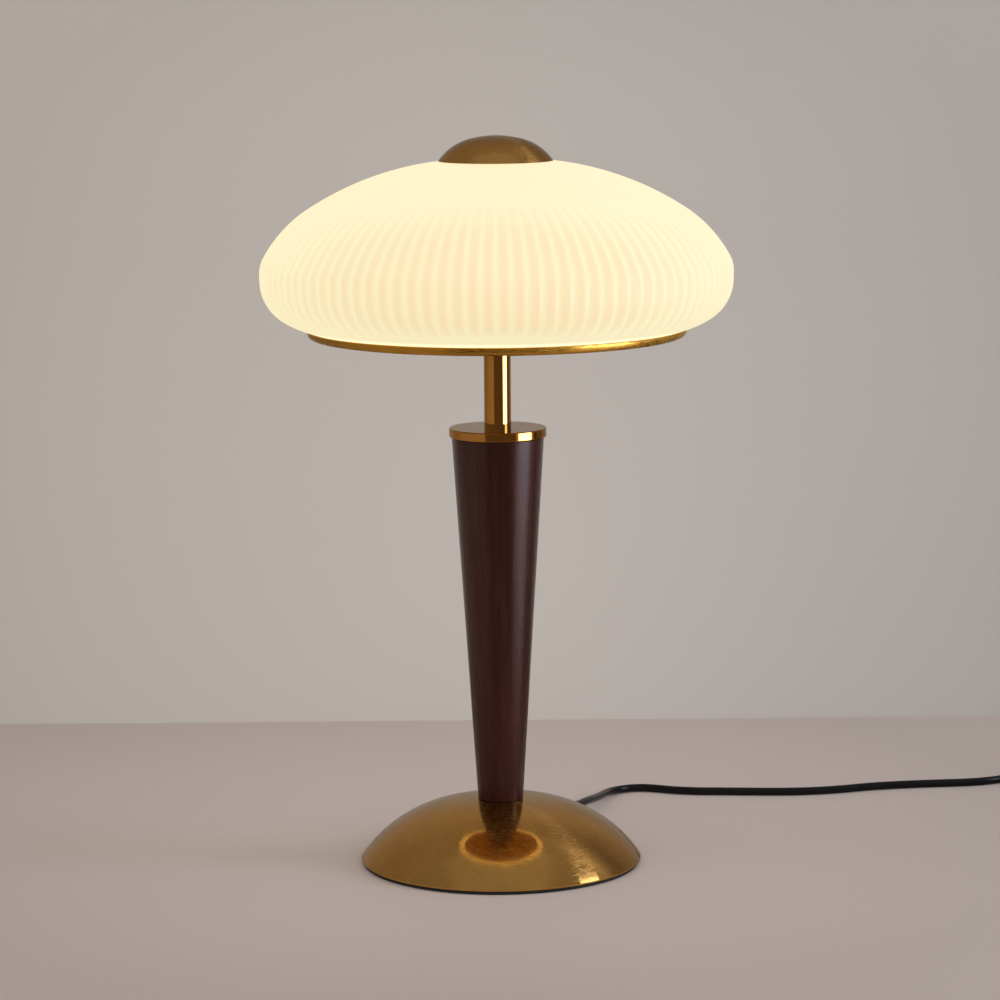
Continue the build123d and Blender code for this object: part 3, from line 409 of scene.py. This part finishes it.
def lit_diffuser():
    """Opal cover of a lit bulb, with a faint cloudiness."""
    look = Look("bulb_opal", {"Roughness": 0.4, "Emission Strength": 1.0})
    cloud = look.noise(look.place(), 60.0, 2.0)
    share = look.spread(cloud, 0.3, 0.7, 0.0, 1.0)
    look.set("Emission Color", look.mix(share, (0.86, 0.70, 0.42), (0.92, 0.78, 0.50)))
    look.set("Base Color", look.mix(share, (0.60, 0.57, 0.50), (0.66, 0.63, 0.56)))
    look.bump(look.noise(look.place(), 900.0, 2.0), 0.03, 0.05 * MM)
    return look.material


def moulded(name, colour, roughness, grain, values=None):
    """Moulded plastic, rubber or silicone: a fine grain and slight changes of gloss."""
    look = Look(name, {"Specular IOR Level": 0.5, **(values or {})})
    cloud = look.noise(look.place(), 70.0, 4.0)
    lighter = tuple(min(1.0, 1.18 * part + 0.002) for part in colour)
    look.set("Base Color", look.mix(look.spread(cloud, 0.3, 0.7, 0.0, 1.0), colour, lighter))
    look.set("Roughness", look.spread(cloud, 0.3, 0.7, roughness - 0.05, roughness + 0.06))
    look.bump(look.noise(look.place(), 3500.0, 2.0), grain, 0.05 * MM)
    return look.material


def plated(name, colour, roughness, thread=0.0):
    """Plated metal with a faint cloudiness, and thread turns where it has a thread."""
    look = Look(name, {"Metallic": 1.0})
    cloud = look.noise(look.place(), 180.0, 5.0)
    darker = tuple(0.78 * part for part in colour)
    look.set("Base Color", look.mix(look.spread(cloud, 0.35, 0.65, 0.0, 1.0), darker, colour))
    look.set("Roughness", look.spread(cloud, 0.3, 0.7, roughness - 0.02, roughness + 0.05))
    if thread:
        height = look.apart(look.place())["Z"]
        turns = look.maths("SINE", look.maths("MULTIPLY", height, 2 * math.pi / thread))
        look.bump(turns, 0.8, 0.25 * MM)
    else:
        look.bump(look.noise(look.place(), 1600.0, 3.0), 0.05, 0.05 * MM)
    return look.material


def rough_casting():
    """Grey iron with the pitted skin of a casting."""
    dark, light = (0.06, 0.058, 0.056), (0.15, 0.148, 0.142)
    look = Look("cast_iron", {"Metallic": 0.7})
    pits = look.noise(look.place(), 420.0, 6.0, 0.65)
    look.set("Base Color", look.mix(look.spread(pits, 0.35, 0.65, 0.0, 1.0), dark, light))
    look.set("Roughness", look.spread(pits, 0.3, 0.7, 0.55, 0.8))
    look.bump(pits, 0.5, 0.3 * MM)
    return look.material


def woven_strap():
    """Black woven strap."""
    look = Look("black_tie", {"Sheen Weight": 0.08, "Roughness": 0.85})
    place = look.apart(look.place())
    threads = 2 * math.pi / STRAP_THREAD
    along = look.maths("SINE", look.maths("MULTIPLY", place["Y"], threads))
    rounds = look.maths("ADD", place["X"], place["Z"])
    over = look.maths("SINE", look.maths("MULTIPLY", rounds, threads))
    weave = look.spread(look.maths("MULTIPLY", along, over), -1.0, 1.0, 0.0, 1.0)
    look.set("Base Color", look.mix(weave, (0.005, 0.005, 0.0055), (0.016, 0.016, 0.017)))
    look.bump(weave, 0.5, 0.15 * MM)
    return look.material


def marked_rocker():
    """Glossy black plastic with a white bar and a white ring printed on it for on and off."""
    look = Look("rocker_gloss", {"Specular IOR Level": 0.5, "Roughness": 0.2})
    rocker_low, rocker_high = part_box("switch_rocker")
    middle = (rocker_low + rocker_high) / 2
    spot = look.apart(look.vectors("SUBTRACT", look.place(), middle))
    from_bar = look.maths("ABSOLUTE", look.maths("ADD", spot["X"], MARK_OFFSET))
    aside = look.maths("ABSOLUTE", spot["Y"])
    in_width = look.maths("LESS_THAN", from_bar, MARK_LINE / 2)
    bar = look.maths("MULTIPLY", in_width, look.maths("LESS_THAN", aside, MARK_REACH))
    from_ring = look.maths("SUBTRACT", spot["X"], MARK_OFFSET)
    reach = look.vectors("LENGTH", look.joined({"X": from_ring, "Y": spot["Y"]}))
    off_line = look.maths("ABSOLUTE", look.maths("SUBTRACT", reach, MARK_REACH))
    mark = look.maths("MAXIMUM", bar, look.maths("LESS_THAN", off_line, MARK_LINE / 2))
    look.set("Base Color", look.mix(mark, (0.012, 0.012, 0.012), (0.68, 0.68, 0.66)))
    look.bump(look.noise(look.place(), 3500.0, 2.0), 0.03, 0.05 * MM)
    return look.material


looks = {
    "satin_brass": turned_brass(
        "satin_brass",
        (0.60, 0.310, 0.080),
        smooth=0.08,
        rough=0.34,
        brushed=0.56,
        anisotropy=1.0,
        rings_per_metre=SATIN_RINGS,
    ),
    "polished_brass": turned_brass(
        "polished_brass", (0.64, 0.285, 0.058), smooth=0.04, rough=0.14, brushed=0.60
    ),
    "dark_wood": dark_wood(),
    "opal_glass": opal_glass(),
    "black_foam": moulded("black_foam", (0.010, 0.010, 0.010), 0.85, 0.5),
    "black_rubber": moulded("black_rubber", (0.006, 0.006, 0.006), 0.42, 0.1),
    "black_cord": moulded("black_cord", (0.003, 0.0026, 0.0026), 0.24, 0.02, {"Specular IOR Level": 0.2}),
    "cast_iron": rough_casting(),
    "zinc_steel": plated("zinc_steel", (0.62, 0.62, 0.60), 0.30),
    "contact_brass": plated("contact_brass", (0.74, 0.52, 0.22), 0.28),
    "nickel": plated("nickel", (0.72, 0.70, 0.66), 0.22),
    "holder_white": moulded("holder_white", (0.74, 0.73, 0.69), 0.42, 0.06),
    "bulb_opal": lit_diffuser(),
    "white_nylon": moulded("white_nylon", (0.76, 0.76, 0.73), 0.5, 0.08),
    "white_wire": moulded("white_wire", (0.74, 0.74, 0.72), 0.4, 0.05),
    "clear_silicone": moulded("clear_silicone", (0.66, 0.66, 0.63), 0.35, 0.05),
    "black_plastic": moulded("black_plastic", (0.016, 0.016, 0.017), 0.42, 0.35),
    "black_gloss": moulded("black_gloss", (0.012, 0.012, 0.012), 0.18, 0.03),
    "black_tie": woven_strap(),
}
threaded_steel = plated("threaded_steel", (0.60, 0.60, 0.58), 0.30, 1.0 * MM)
pan_brass = turned_brass("pan_brass", (0.62, 0.310, 0.045), smooth=0.17, rough=0.58, brushed=0.49)

for part in frame["record"]["subparts"]:
    skin = nodes[part["node"]].data.materials
    skin.clear()
    skin.append(looks[part["material_slot"]])
for name in ("threaded_pipe", "top_rod", "holder_nipples"):
    nodes[name].data.materials[0] = threaded_steel
nodes["pan"].data.materials[0] = pan_brass
nodes["switch_rocker"].data.materials[0] = marked_rocker()


# Shade: a turned glass with upright pleats


def glass_outline():
    """Closed outline of the glass as (radius, height), outside first, and how many points are outside."""
    shade_low, shade_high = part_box("shade")
    pan_low, pan_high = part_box("pan")
    wall = GLASS_WALL
    equator = pan_low.z + PAN_WALL + EQUATOR_RISE
    widest = (shade_high.x, equator)
    flare_end = (pan_high.x + FLARE_OVERLAP, pan_high.z + FLARE_GAP)
    up = math.pi / 2

    shoulder, way = arc(widest, up, SHOULDER_RADIUS, SHOULDER_TURN, 8)
    flank, way = arc(shoulder[-1], way, FLANK_RADIUS, FLANK_TURN, 10)
    roof, _ = arc_to(flank[-1], way, (LAND_RADIUS, shade_high.z), 14)
    belly, way = arc(widest, -up, BELLY_RADIUS, -BELLY_TURN, 3)
    turn, way = arc(belly[-1], way, TURN_RADIUS, -TURN_TURN, 12)
    flare, flare_way = arc_to(turn[-1], way, flare_end, 6)

    inside = (widest[0] - wall, equator)
    inner_shoulder, way = arc(inside, up, SHOULDER_RADIUS - wall, SHOULDER_TURN, 6)
    inner_flank, way = arc(inner_shoulder[-1], way, FLANK_RADIUS - wall, FLANK_TURN, 6)
    inner_roof, _ = arc_to(inner_flank[-1], way, (LAND_RADIUS, shade_high.z - wall), 8)
    inner_belly, way = arc(inside, -up, BELLY_RADIUS - wall, -BELLY_TURN, 2)
    inner_turn, way = arc(inner_belly[-1], way, TURN_RADIUS - wall, -TURN_TURN, 6)
    inner_end = (
        flare_end[0] + wall * math.sin(flare_way),
        flare_end[1] - wall * math.cos(flare_way),
    )
    inner_flare, _ = arc_to(inner_turn[-1], way, inner_end, 4)

    neck = pan_high.x - NECK_SETBACK
    rim = [
        (neck, flare_end[1]),
        (neck, shade_low.z),
        (neck - wall, shade_low.z),
        (neck - wall, inner_end[1] - NECK_STEP),
    ]
    outer = roof[::-1] + flank[::-1] + shoulder[::-1] + [widest] + belly + turn + flare
    inner = inner_flare[::-1] + inner_turn[::-1] + inner_belly[::-1] + [inside]
    inner += inner_shoulder + inner_flank + inner_roof
    hole = [(HOLE_RADIUS, shade_high.z - wall), (HOLE_RADIUS, shade_high.z)]
    return outer + rim + inner + hole, len(outer)


def pleated_glass():
    """The shade's mesh: its outline turned about Z, with grooves pressed into the outside."""
    outline, outside = glass_outline()
    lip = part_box("pan")[1].z
    segments = PLEAT_COUNT * PLEAT_STEPS
    depths = []
    for index, (_, height) in enumerate(outline):
        fade = 1.0 - smoothstep(PLEAT_FADE_LOW, PLEAT_FADE_HIGH, height)
        fade *= smoothstep(lip, lip + PLEAT_RIM_FADE, height)
        depths.append(PLEAT_DEPTH * fade if index < outside else 0.0)
    points = []
    for segment in range(segments):
        angle = 2 * math.pi * segment / segments
        groove = (0.5 + 0.5 * math.cos(PLEAT_COUNT * angle)) ** PLEAT_SHARPNESS
        for (radius, height), depth in zip(outline, depths):
            reach = radius - depth * groove
            points.append((reach * math.cos(angle), reach * math.sin(angle), height))
    count = len(outline)
    faces = []
    for segment in range(segments):
        here = segment * count
        there = (segment + 1) % segments * count
        for index in range(count):
            after = (index + 1) % count
            faces.append((here + index, here + after, there + after, there + index))
    mesh_piece("pleated_glass", points, faces, "shade", "opal_glass", ["shade"])


pleated_glass()


# Strap round the coil


def rounded_line(corners, cut, steps):
    """An open line through corners, each rounded off by a short curve."""
    points = [corners[0]]
    for before, corner, after in zip(corners, corners[1:], corners[2:]):
        start = corner + (before - corner).normalized() * cut
        end = corner + (after - corner).normalized() * cut
        for step in range(steps + 1):
            share = step / steps
            points.append(start.lerp(corner, share).lerp(corner.lerp(end, share), share))
    return points + [corners[-1]]


def strap_band(line, front, back, thickness):
    """Points and faces of a flat band along a line in XZ, with chamfered edges."""
    edge = thickness / 2
    chamfer = thickness / 4
    section = [
        (front, chamfer - edge),
        (front, edge - chamfer),
        (front + chamfer, edge),
        (back - chamfer, edge),
        (back, edge - chamfer),
        (back, chamfer - edge),
        (back - chamfer, -edge),
        (front + chamfer, -edge),
    ]
    points = []
    for index, spot in enumerate(line):
        way = line[min(index + 1, len(line) - 1)] - line[max(index - 1, 0)]
        out = Vector((-way.y, way.x)).normalized()
        for across, rise in section:
            points.append((spot.x + rise * out.x, across, spot.y + rise * out.y))
    count = len(section)
    faces = [tuple(range(count)), tuple(range(len(points) - count, len(points)))]
    for start in range(0, len(points) - count, count):
        for side in range(count):
            after = (side + 1) % count
            faces.append((start + side, start + after, start + count + after, start + count + side))
    return points, faces


def coil_strap():
    """A woven strap once round the coil's turns, with its end lapped over the top."""
    tie_low, tie_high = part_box("cord_tie")
    inset = STRAP_THICKNESS / 2 + STRAP_MARGIN
    left, right = tie_low.x + inset, tie_high.x - inset
    under = tie_low.z + inset
    lap = tie_high.z - inset
    over = lap - STRAP_THICKNESS - STRAP_MARGIN
    middle = (left + right) / 2
    corners = [
        (middle, over),
        (left + STRAP_LEAN, over),
        (left, under + STRAP_WAIST),
        (left, under),
        (right, under),
        (right, under + STRAP_WAIST),
        (right - STRAP_LEAN, over),
        (middle + STRAP_LEAN, lap),
        (left + 2 * STRAP_LEAN, lap),
    ]
    line = rounded_line([Vector(corner) for corner in corners], STRAP_ROUND, 6)
    points, faces = strap_band(line, tie_low.y, tie_high.y, STRAP_THICKNESS)
    return mesh_piece("coil_strap", points, faces, "lamp", "black_tie", ["cord_tie"])


strap = coil_strap()


# Cord


def cord_curve(name, points, replaced):
    """A cord along a smooth line with these control points, in millimetres."""
    curve = bpy.data.curves.new(name, "CURVE")
    curve.dimensions = "3D"
    curve.bevel_depth = CORD_DIAMETER / 2
    curve.bevel_resolution = 6
    curve.use_fill_caps = True
    spline = curve.splines.new("NURBS")
    spline.points.add(len(points) - 1)
    for spot, point in zip(spline.points, points):
        spot.co = (*(Vector(point) * MM), 1.0)
    spline.order_u = 3
    spline.use_endpoint_u = True
    spline.resolution_u = 10
    curve.materials.append(looks["black_cord"])
    cord = new_object(name, curve, "lamp")
    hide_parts(*replaced)
    return cord


def coil_points(start):
    """Half turns that spiral in, climb a layer at the innermost one and spiral out again."""
    half = COIL_PITCH / 2
    inmost = COIL_REACH - half * COIL_INWARD
    reaches = [COIL_REACH - half * index for index in range(COIL_INWARD)]
    reaches += [inmost - COIL_CLIMB_INSET, inmost - COIL_CLIMB_INSET]
    reaches += [inmost + half * (index + 1) for index in range(COIL_OUTWARD)]
    middle = Vector(start) - Vector((COIL_REACH, 0, 0))
    places = []
    for index, reach in enumerate(reaches):
        layer = 0 if index <= COIL_INWARD else COIL_LAYER
        places.append(middle + Vector((reach if index % 2 == 0 else -reach, 0, layer)))
    points = []
    for index, (first, second) in enumerate(zip(places, places[1:])):
        centre = (first + second) / 2
        swing = (second - first).length / 2 * (-1 if index % 2 == 0 else 1)
        for step in range(COIL_STEPS):
            turn = math.pi * step / COIL_STEPS
            aside = Vector((0, swing * math.sin(turn), 0))
            points.append(centre + (first - centre) * math.cos(turn) + aside)
    return points + [places[-1]]


lead_route = [
    (47.333, 101.506, 9),
    (52.827, 113.288, 9),
    (62.5, 139.5, 5.6),
    (71, 170.5, 2.7),
    (92, 181.5, 2.5),
    (117.5, 168.3, 2.5),
    (152, 166.4, 2.5),
    (188, 163.7, 2.5),
    (217, 168.0, 2.5),
    (246, 179.3, 2.5),
    (283, 184.8, 2.5),
    (312, 187.2, 2.5),
    (336, 198.5, 2.5),
    (356, 203, 8),
    (376, 203, 8),
]
link_route = [
    (438, 203, 8),
    (462, 203, 8),
    (480, 185, 5.4),
    (480, 161, 4.4),
    (480, 148, 4.4),
]
tail_route = [
    (477.25, 138, 9.9),
    (477.25, 122, 9.9),
    (470, 100, 6.85),
    (470, 84, 6.85),
]
coil_start = (480, 143, 4.4)

lead = cord_curve("cord_lead_line", lead_route, ["cord_lead"])
run_points = link_route + coil_points(coil_start) + tail_route
run = cord_curve("cord_run_line", run_points, ["cord_link", "cord_coil", "cord_tail"])


# Studio


def stage_sheet(name, corners, look):
    """A flat sheet of the studio, which isn't part of the lamp."""
    mesh = bpy.data.meshes.new(name)
    mesh.from_pydata(corners, [], [(0, 1, 2, 3)])
    mesh.materials.append(look.material)
    new_object(name, mesh, None)


def distance_from(look, centre):
    """Distance of the shaded point from a fixed point."""
    return look.vectors("DISTANCE", look.place(), centre)


def far_in_mirrors(look, tone, far, far_colour):
    """A colour that mirrors see go over into another colour where far goes to 1."""
    mirrored = look.add("ShaderNodeLightPath").outputs["Is Glossy Ray"]
    return look.mix(look.maths("MULTIPLY", mirrored, far), tone, far_colour)


def floor_tone(look):
    """Colour of the table top: slightly cloudy, with a painted pool of light round the lamp and painted
    shade past the wall.
    """
    lighter = tuple(1.04 * part for part in FLOOR_COLOUR)
    cloud = look.noise(look.place(), 2.2, 2.0)
    plain = look.mix(look.spread(cloud, 0.3, 0.7, 0.0, 1.0), FLOOR_COLOUR, lighter)
    # Painted pool of light round the lamp's foot
    lit = look.spread(distance_from(look, FLOOR_PAINTED_GLOW_CENTRE), *FLOOR_PAINTED_GLOW_RANGE, 0.0, 1.0)
    painted_glow = look.mix(lit, FLOOR_PAINTED_GLOW_COLOUR, plain)
    depth = look.apart(look.place())["Y"]
    # Painted shade past the wall
    behind = look.spread(depth, WALL_PLACE, WALL_PLACE + FLOOR_BEHIND_FADE, 0.0, FLOOR_BEHIND_SHADE)
    return look.mix(behind, painted_glow, BLACK)


def stage_floor():
    """Plain matt table top; mirrors see it dark in front, paler on the left, bright far to the right."""
    look = Look("floor", {"Roughness": 0.6, "Specular IOR Level": 0.2})
    distance = distance_from(look, (0, 0, 0))
    far = look.spread(distance, *FLOOR_FAR_RANGE, 0.0, 1.0)
    left = look.spread(look.along(FLOOR_LEFT_WAY), *FLOOR_LEFT_RANGE, 0.0, 1.0)
    rightward = look.along(FLOOR_RIGHT_WAY)
    right = look.spread(rightward, *FLOOR_RIGHT_RANGE, 0.0, 1.0)
    dark = look.mix(left, FLOOR_FRONT_COLOUR, FLOOR_LEFT_COLOUR)
    far_colour = look.mix(right, dark, FLOOR_RIGHT_COLOUR)
    look.set("Base Color", far_in_mirrors(look, floor_tone(look), far, far_colour))
    # Painted highlight: for mirrors only, the floor glows with a sheen far to the right and a brighter glare
    # further off
    shine = look.mix(look.maths("MULTIPLY", right, far), BLACK, FLOOR_RIGHT_COLOUR)
    across = look.spread(rightward, *GLARE_SIDE_RANGE, 0.0, 1.0)
    glare = look.maths("MULTIPLY", across, look.spread(distance, *GLARE_FAR_RANGE, 0.0, 1.0))
    look.set("Emission Color", look.mix(glare, shine, GLARE_COLOUR))
    strength = look.maths("ADD", look.maths("MULTIPLY", glare, GLARE_STRENGTH), FLOOR_RIGHT_SHEEN)
    mirrored = look.add("ShaderNodeLightPath").outputs["Is Glossy Ray"]
    look.set("Emission Strength", look.maths("MULTIPLY", mirrored, strength))
    reach = FLOOR_REACH
    corners = [(-reach, -reach), (reach, -reach), (reach, reach), (-reach, reach)]
    stage_sheet("floor", [(x, y, -FLOOR_DROP) for x, y in corners], look)


def stage_wall():
    """Plain wall with a painted glow round the lamp and painted shade towards the right; only its front
    shows, so that it hides nothing from behind.
    """
    look = Look("wall", {"Roughness": 0.8, "Specular IOR Level": 0.2})
    distance = distance_from(look, (0, WALL_PLACE, WALL_PAINTED_GLOW_HEIGHT))
    # Painted glow: lighter round the lamp's foot
    painted_glow = look.mix(look.spread(distance, *WALL_PAINTED_GLOW_RANGE, 0.0, 1.0), WALL_PAINTED_GLOW_COLOUR, WALL_COLOUR)
    place = look.apart(look.place())
    # Painted shade: darker towards the right
    tone = look.mix(look.spread(place["X"], *WALL_SIDE_RANGE, 0.0, WALL_RIGHT_PAINTED_SHADE), painted_glow, BLACK)
    far = look.spread(distance, *WALL_FAR_RANGE, 0.0, 1.0)
    low_down = look.spread(place["Z"], *WALL_LOW_RANGE, 1.0, 0.0)
    rightward = look.maths("MULTIPLY", look.spread(place["X"], *WALL_SIDE_RANGE, 0.0, 1.0), low_down)
    dark = look.mix(rightward, WALL_LEFT_COLOUR, WALL_RIGHT_COLOUR)
    look.set("Base Color", far_in_mirrors(look, tone, far, dark))
    back = look.add("ShaderNodeNewGeometry").outputs["Backfacing"]
    clear = look.add("ShaderNodeBsdfTransparent").outputs[0]
    choose = look.add("ShaderNodeMixShader", {0: back, 1: look.shader.outputs[0], 2: clear})
    look.feed(look.tree.nodes["Material Output"].inputs["Surface"], choose.outputs[0])
    reach = FLOOR_REACH
    corners = [(-reach, -FLOOR_DROP), (reach, -FLOOR_DROP), (reach, WALL_HEIGHT), (-reach, WALL_HEIGHT)]
    stage_sheet("wall", [(x, WALL_PLACE, z) for x, z in corners], look)


def studio_world():
    """Even soft light; mirrors see a room that is dark in front, lighter behind and above."""
    world = bpy.data.worlds.new("studio")
    bpy.context.scene.world = world
    world.use_nodes = True
    sky = Nodes(world.node_tree)
    path = sky.add("ShaderNodeLightPath").outputs
    way = sky.add("ShaderNodeTexCoord").outputs["Generated"]
    level = sky.spread(sky.vectors("DOT_PRODUCT", way, ROOM_WAY), *ROOM_WAY_RANGE, ROOM_FRONT, ROOM_BACK)
    heading = sky.apart(way)
    overhead = sky.spread(heading["Z"], *ROOM_RISE_RANGE, 0.0, 1.0)
    above = sky.spread(heading["Z"], *ROOM_TOP_RANGE, ROOM_ABOVE, ROOM_TOP)
    sideways = sky.maths("ABSOLUTE", heading["X"])
    ceiling = sky.spread(sideways, *ROOM_CEILING_RANGE, ROOM_CEILING, above)
    room = sky.mix(overhead, level, ceiling)
    lit = sky.mix(path["Is Glossy Ray"], (AMBIENT, AMBIENT, AMBIENT), room)
    seen = sky.mix(path["Is Camera Ray"], lit, BACKDROP_COLOUR)
    sky.feed(sky.tree.nodes["Background"].inputs["Color"], seen)


def studio_light():
    """A rectangular lamp on the right that faces the lamp's axis, leans sideways and is evenly bright."""
    softbox = bpy.data.lights.new("softbox_right", "AREA")
    softbox.shape = "RECTANGLE"
    softbox.size = SOFTBOX_WIDTH
    softbox.size_y = SOFTBOX_HEIGHT
    softbox.energy = SOFTBOX_RADIANCE * math.pi * SOFTBOX_WIDTH * SOFTBOX_HEIGHT
    softbox.color = SOFTBOX_COLOUR
    holder = bpy.data.objects.new("softbox_right", softbox)
    bpy.context.scene.collection.objects.link(holder)
    holder.location = SOFTBOX_PLACE
    holder.visible_camera = False
    facing = (Vector(SOFTBOX_TARGET) - Vector(SOFTBOX_PLACE)).to_track_quat("-Z", "Y")
    holder.rotation_euler = (facing @ Quaternion((0, 0, 1), SOFTBOX_LEAN)).to_euler()


def studio_camera():
    """A camera with the photograph's place, angle and field of view."""
    lens = bpy.data.cameras.new("camera")
    lens.sensor_width = SENSOR_WIDTH
    lens.lens = FOCAL_PIXELS / PICTURE_WIDTH * SENSOR_WIDTH
    camera = bpy.data.objects.new("camera", lens)
    bpy.context.scene.collection.objects.link(camera)
    tilt = Matrix.Rotation(math.pi / 2 - CAMERA_PITCH, 4, "X")
    roll = Matrix.Rotation(CAMERA_ROLL, 4, "Z")
    camera.matrix_world = Matrix.Translation(CAMERA_PLACE) @ tilt @ roll
    bpy.context.scene.camera = camera


stage_floor()
stage_wall()
studio_world()
studio_light()
studio_camera()
bpy.context.scene.view_settings.view_transform = "Standard"
